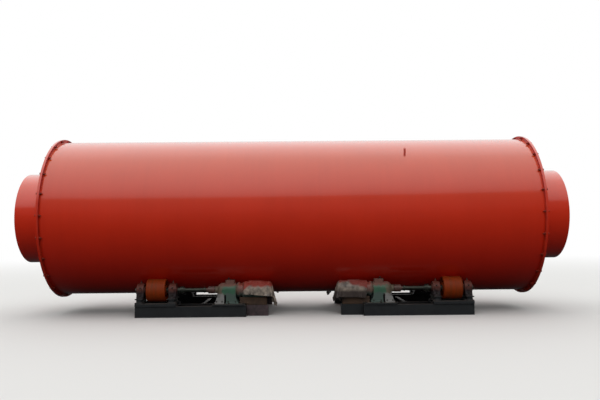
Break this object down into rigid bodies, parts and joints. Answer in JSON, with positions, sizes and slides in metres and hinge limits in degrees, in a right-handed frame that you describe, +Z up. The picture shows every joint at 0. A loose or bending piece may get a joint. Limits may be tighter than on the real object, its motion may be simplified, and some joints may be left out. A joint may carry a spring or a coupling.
{
  "type": "rotary drum dryer",
  "caption": "Flanged steel dryer drum with open necks and inner flights, turned by shaft-driven rollers in plummer blocks on low channel frames.",
  "frame": {"origin": "on the floor under the middle of the drum", "axes": "+X along the drum to the outlet end, +Y to the far side, +Z up"},
  "size_m": [10.42, 3.12, 3.4102],
  "materials": {
    "drum_paint": "semi-gloss orange-red machinery enamel",
    "bare_plate": "mill plate with light rust",
    "roller_steel": "orange-brown paint worn by rolling contact",
    "shaft_steel": "turned steel with a film of oil",
    "frame_paint": "satin near-black frame paint",
    "bearing_casting": "grey casting with red overspray on the cap",
    "gearbox_paint": "semi-gloss green machine paint",
    "motor_paint": "green-grey motor enamel",
    "masking_film": "cloudy crumpled sheet with red overspray",
    "timber": "weathered rough-sawn"
  },
  "bodies": {
    "base": {"left_near_base_frame": "frame_paint", "left_near_pedestals": "frame_paint", "left_near_bearings": "bearing_casting", "left_near_gearbox": "gearbox_paint", "left_near_motor": "motor_paint", "left_near_motor_film": "masking_film", "left_far_base_frame": "frame_paint", "left_far_pedestals": "frame_paint", "left_far_bearings": "bearing_casting", "left_far_gearbox": "gearbox_paint", "left_far_motor": "motor_paint", "left_far_motor_film": "masking_film", "right_near_base_frame": "frame_paint", "right_near_pedestals": "frame_paint", "right_near_bearings": "bearing_casting", "right_near_gearbox": "gearbox_paint", "right_near_motor": "motor_paint", "right_near_motor_film": "masking_film", "right_far_base_frame": "frame_paint", "right_far_pedestals": "frame_paint", "right_far_bearings": "bearing_casting", "right_far_gearbox": "gearbox_paint", "right_far_motor": "motor_paint", "right_far_motor_film": "masking_film", "left_cross_beams": "frame_paint", "right_cross_beams": "frame_paint", "motor_timbers": "timber"},
    "drum": {"drum_shell": "drum_paint", "inlet_flange_ring": "drum_paint", "outlet_flange_ring": "drum_paint", "inlet_end_plate": "drum_paint", "outlet_end_plate": "drum_paint", "inlet_neck": "drum_paint", "outlet_neck": "drum_paint", "inlet_flights": "bare_plate", "middle_flights": "bare_plate", "outlet_flights": "bare_plate"},
    "left_near_wheelset": {"left_near_roller": "roller_steel", "left_near_drive_shaft": "shaft_steel"},
    "left_far_wheelset": {"left_far_roller": "roller_steel", "left_far_drive_shaft": "shaft_steel"},
    "right_near_wheelset": {"right_near_roller": "roller_steel", "right_near_drive_shaft": "shaft_steel"},
    "right_far_wheelset": {"right_far_roller": "roller_steel", "right_far_drive_shaft": "shaft_steel"}
  },
  "joints": [
    {"name": "drum_spin", "type": "hinge", "parent": "base", "child": "drum", "pos_m": [0, 0, 1.85015], "axis": [1, 0, 0], "continuous": true},
    {"name": "left_near_spin", "type": "hinge", "parent": "base", "child": "left_near_wheelset", "pos_m": [-2.5045, -1.01015, 0.475], "axis": [1, 0, 0], "continuous": true},
    {"name": "left_far_spin", "type": "hinge", "parent": "base", "child": "left_far_wheelset", "pos_m": [-2.5045, 1.01015, 0.475], "axis": [1, 0, 0], "continuous": true},
    {"name": "right_near_spin", "type": "hinge", "parent": "base", "child": "right_near_wheelset", "pos_m": [2.9125, -1.01015, 0.475], "axis": [1, 0, 0], "continuous": true},
    {"name": "right_far_spin", "type": "hinge", "parent": "base", "child": "right_far_wheelset", "pos_m": [2.9125, 1.01015, 0.475], "axis": [1, 0, 0], "continuous": true}
  ],
  "couplings": [
    {"joint": "left_near_spin", "follows": "drum_spin", "ratio": -7.2816},
    {"joint": "left_far_spin", "follows": "drum_spin", "ratio": -7.2816},
    {"joint": "right_near_spin", "follows": "drum_spin", "ratio": -7.2816},
    {"joint": "right_far_spin", "follows": "drum_spin", "ratio": -7.2816}
  ]
}
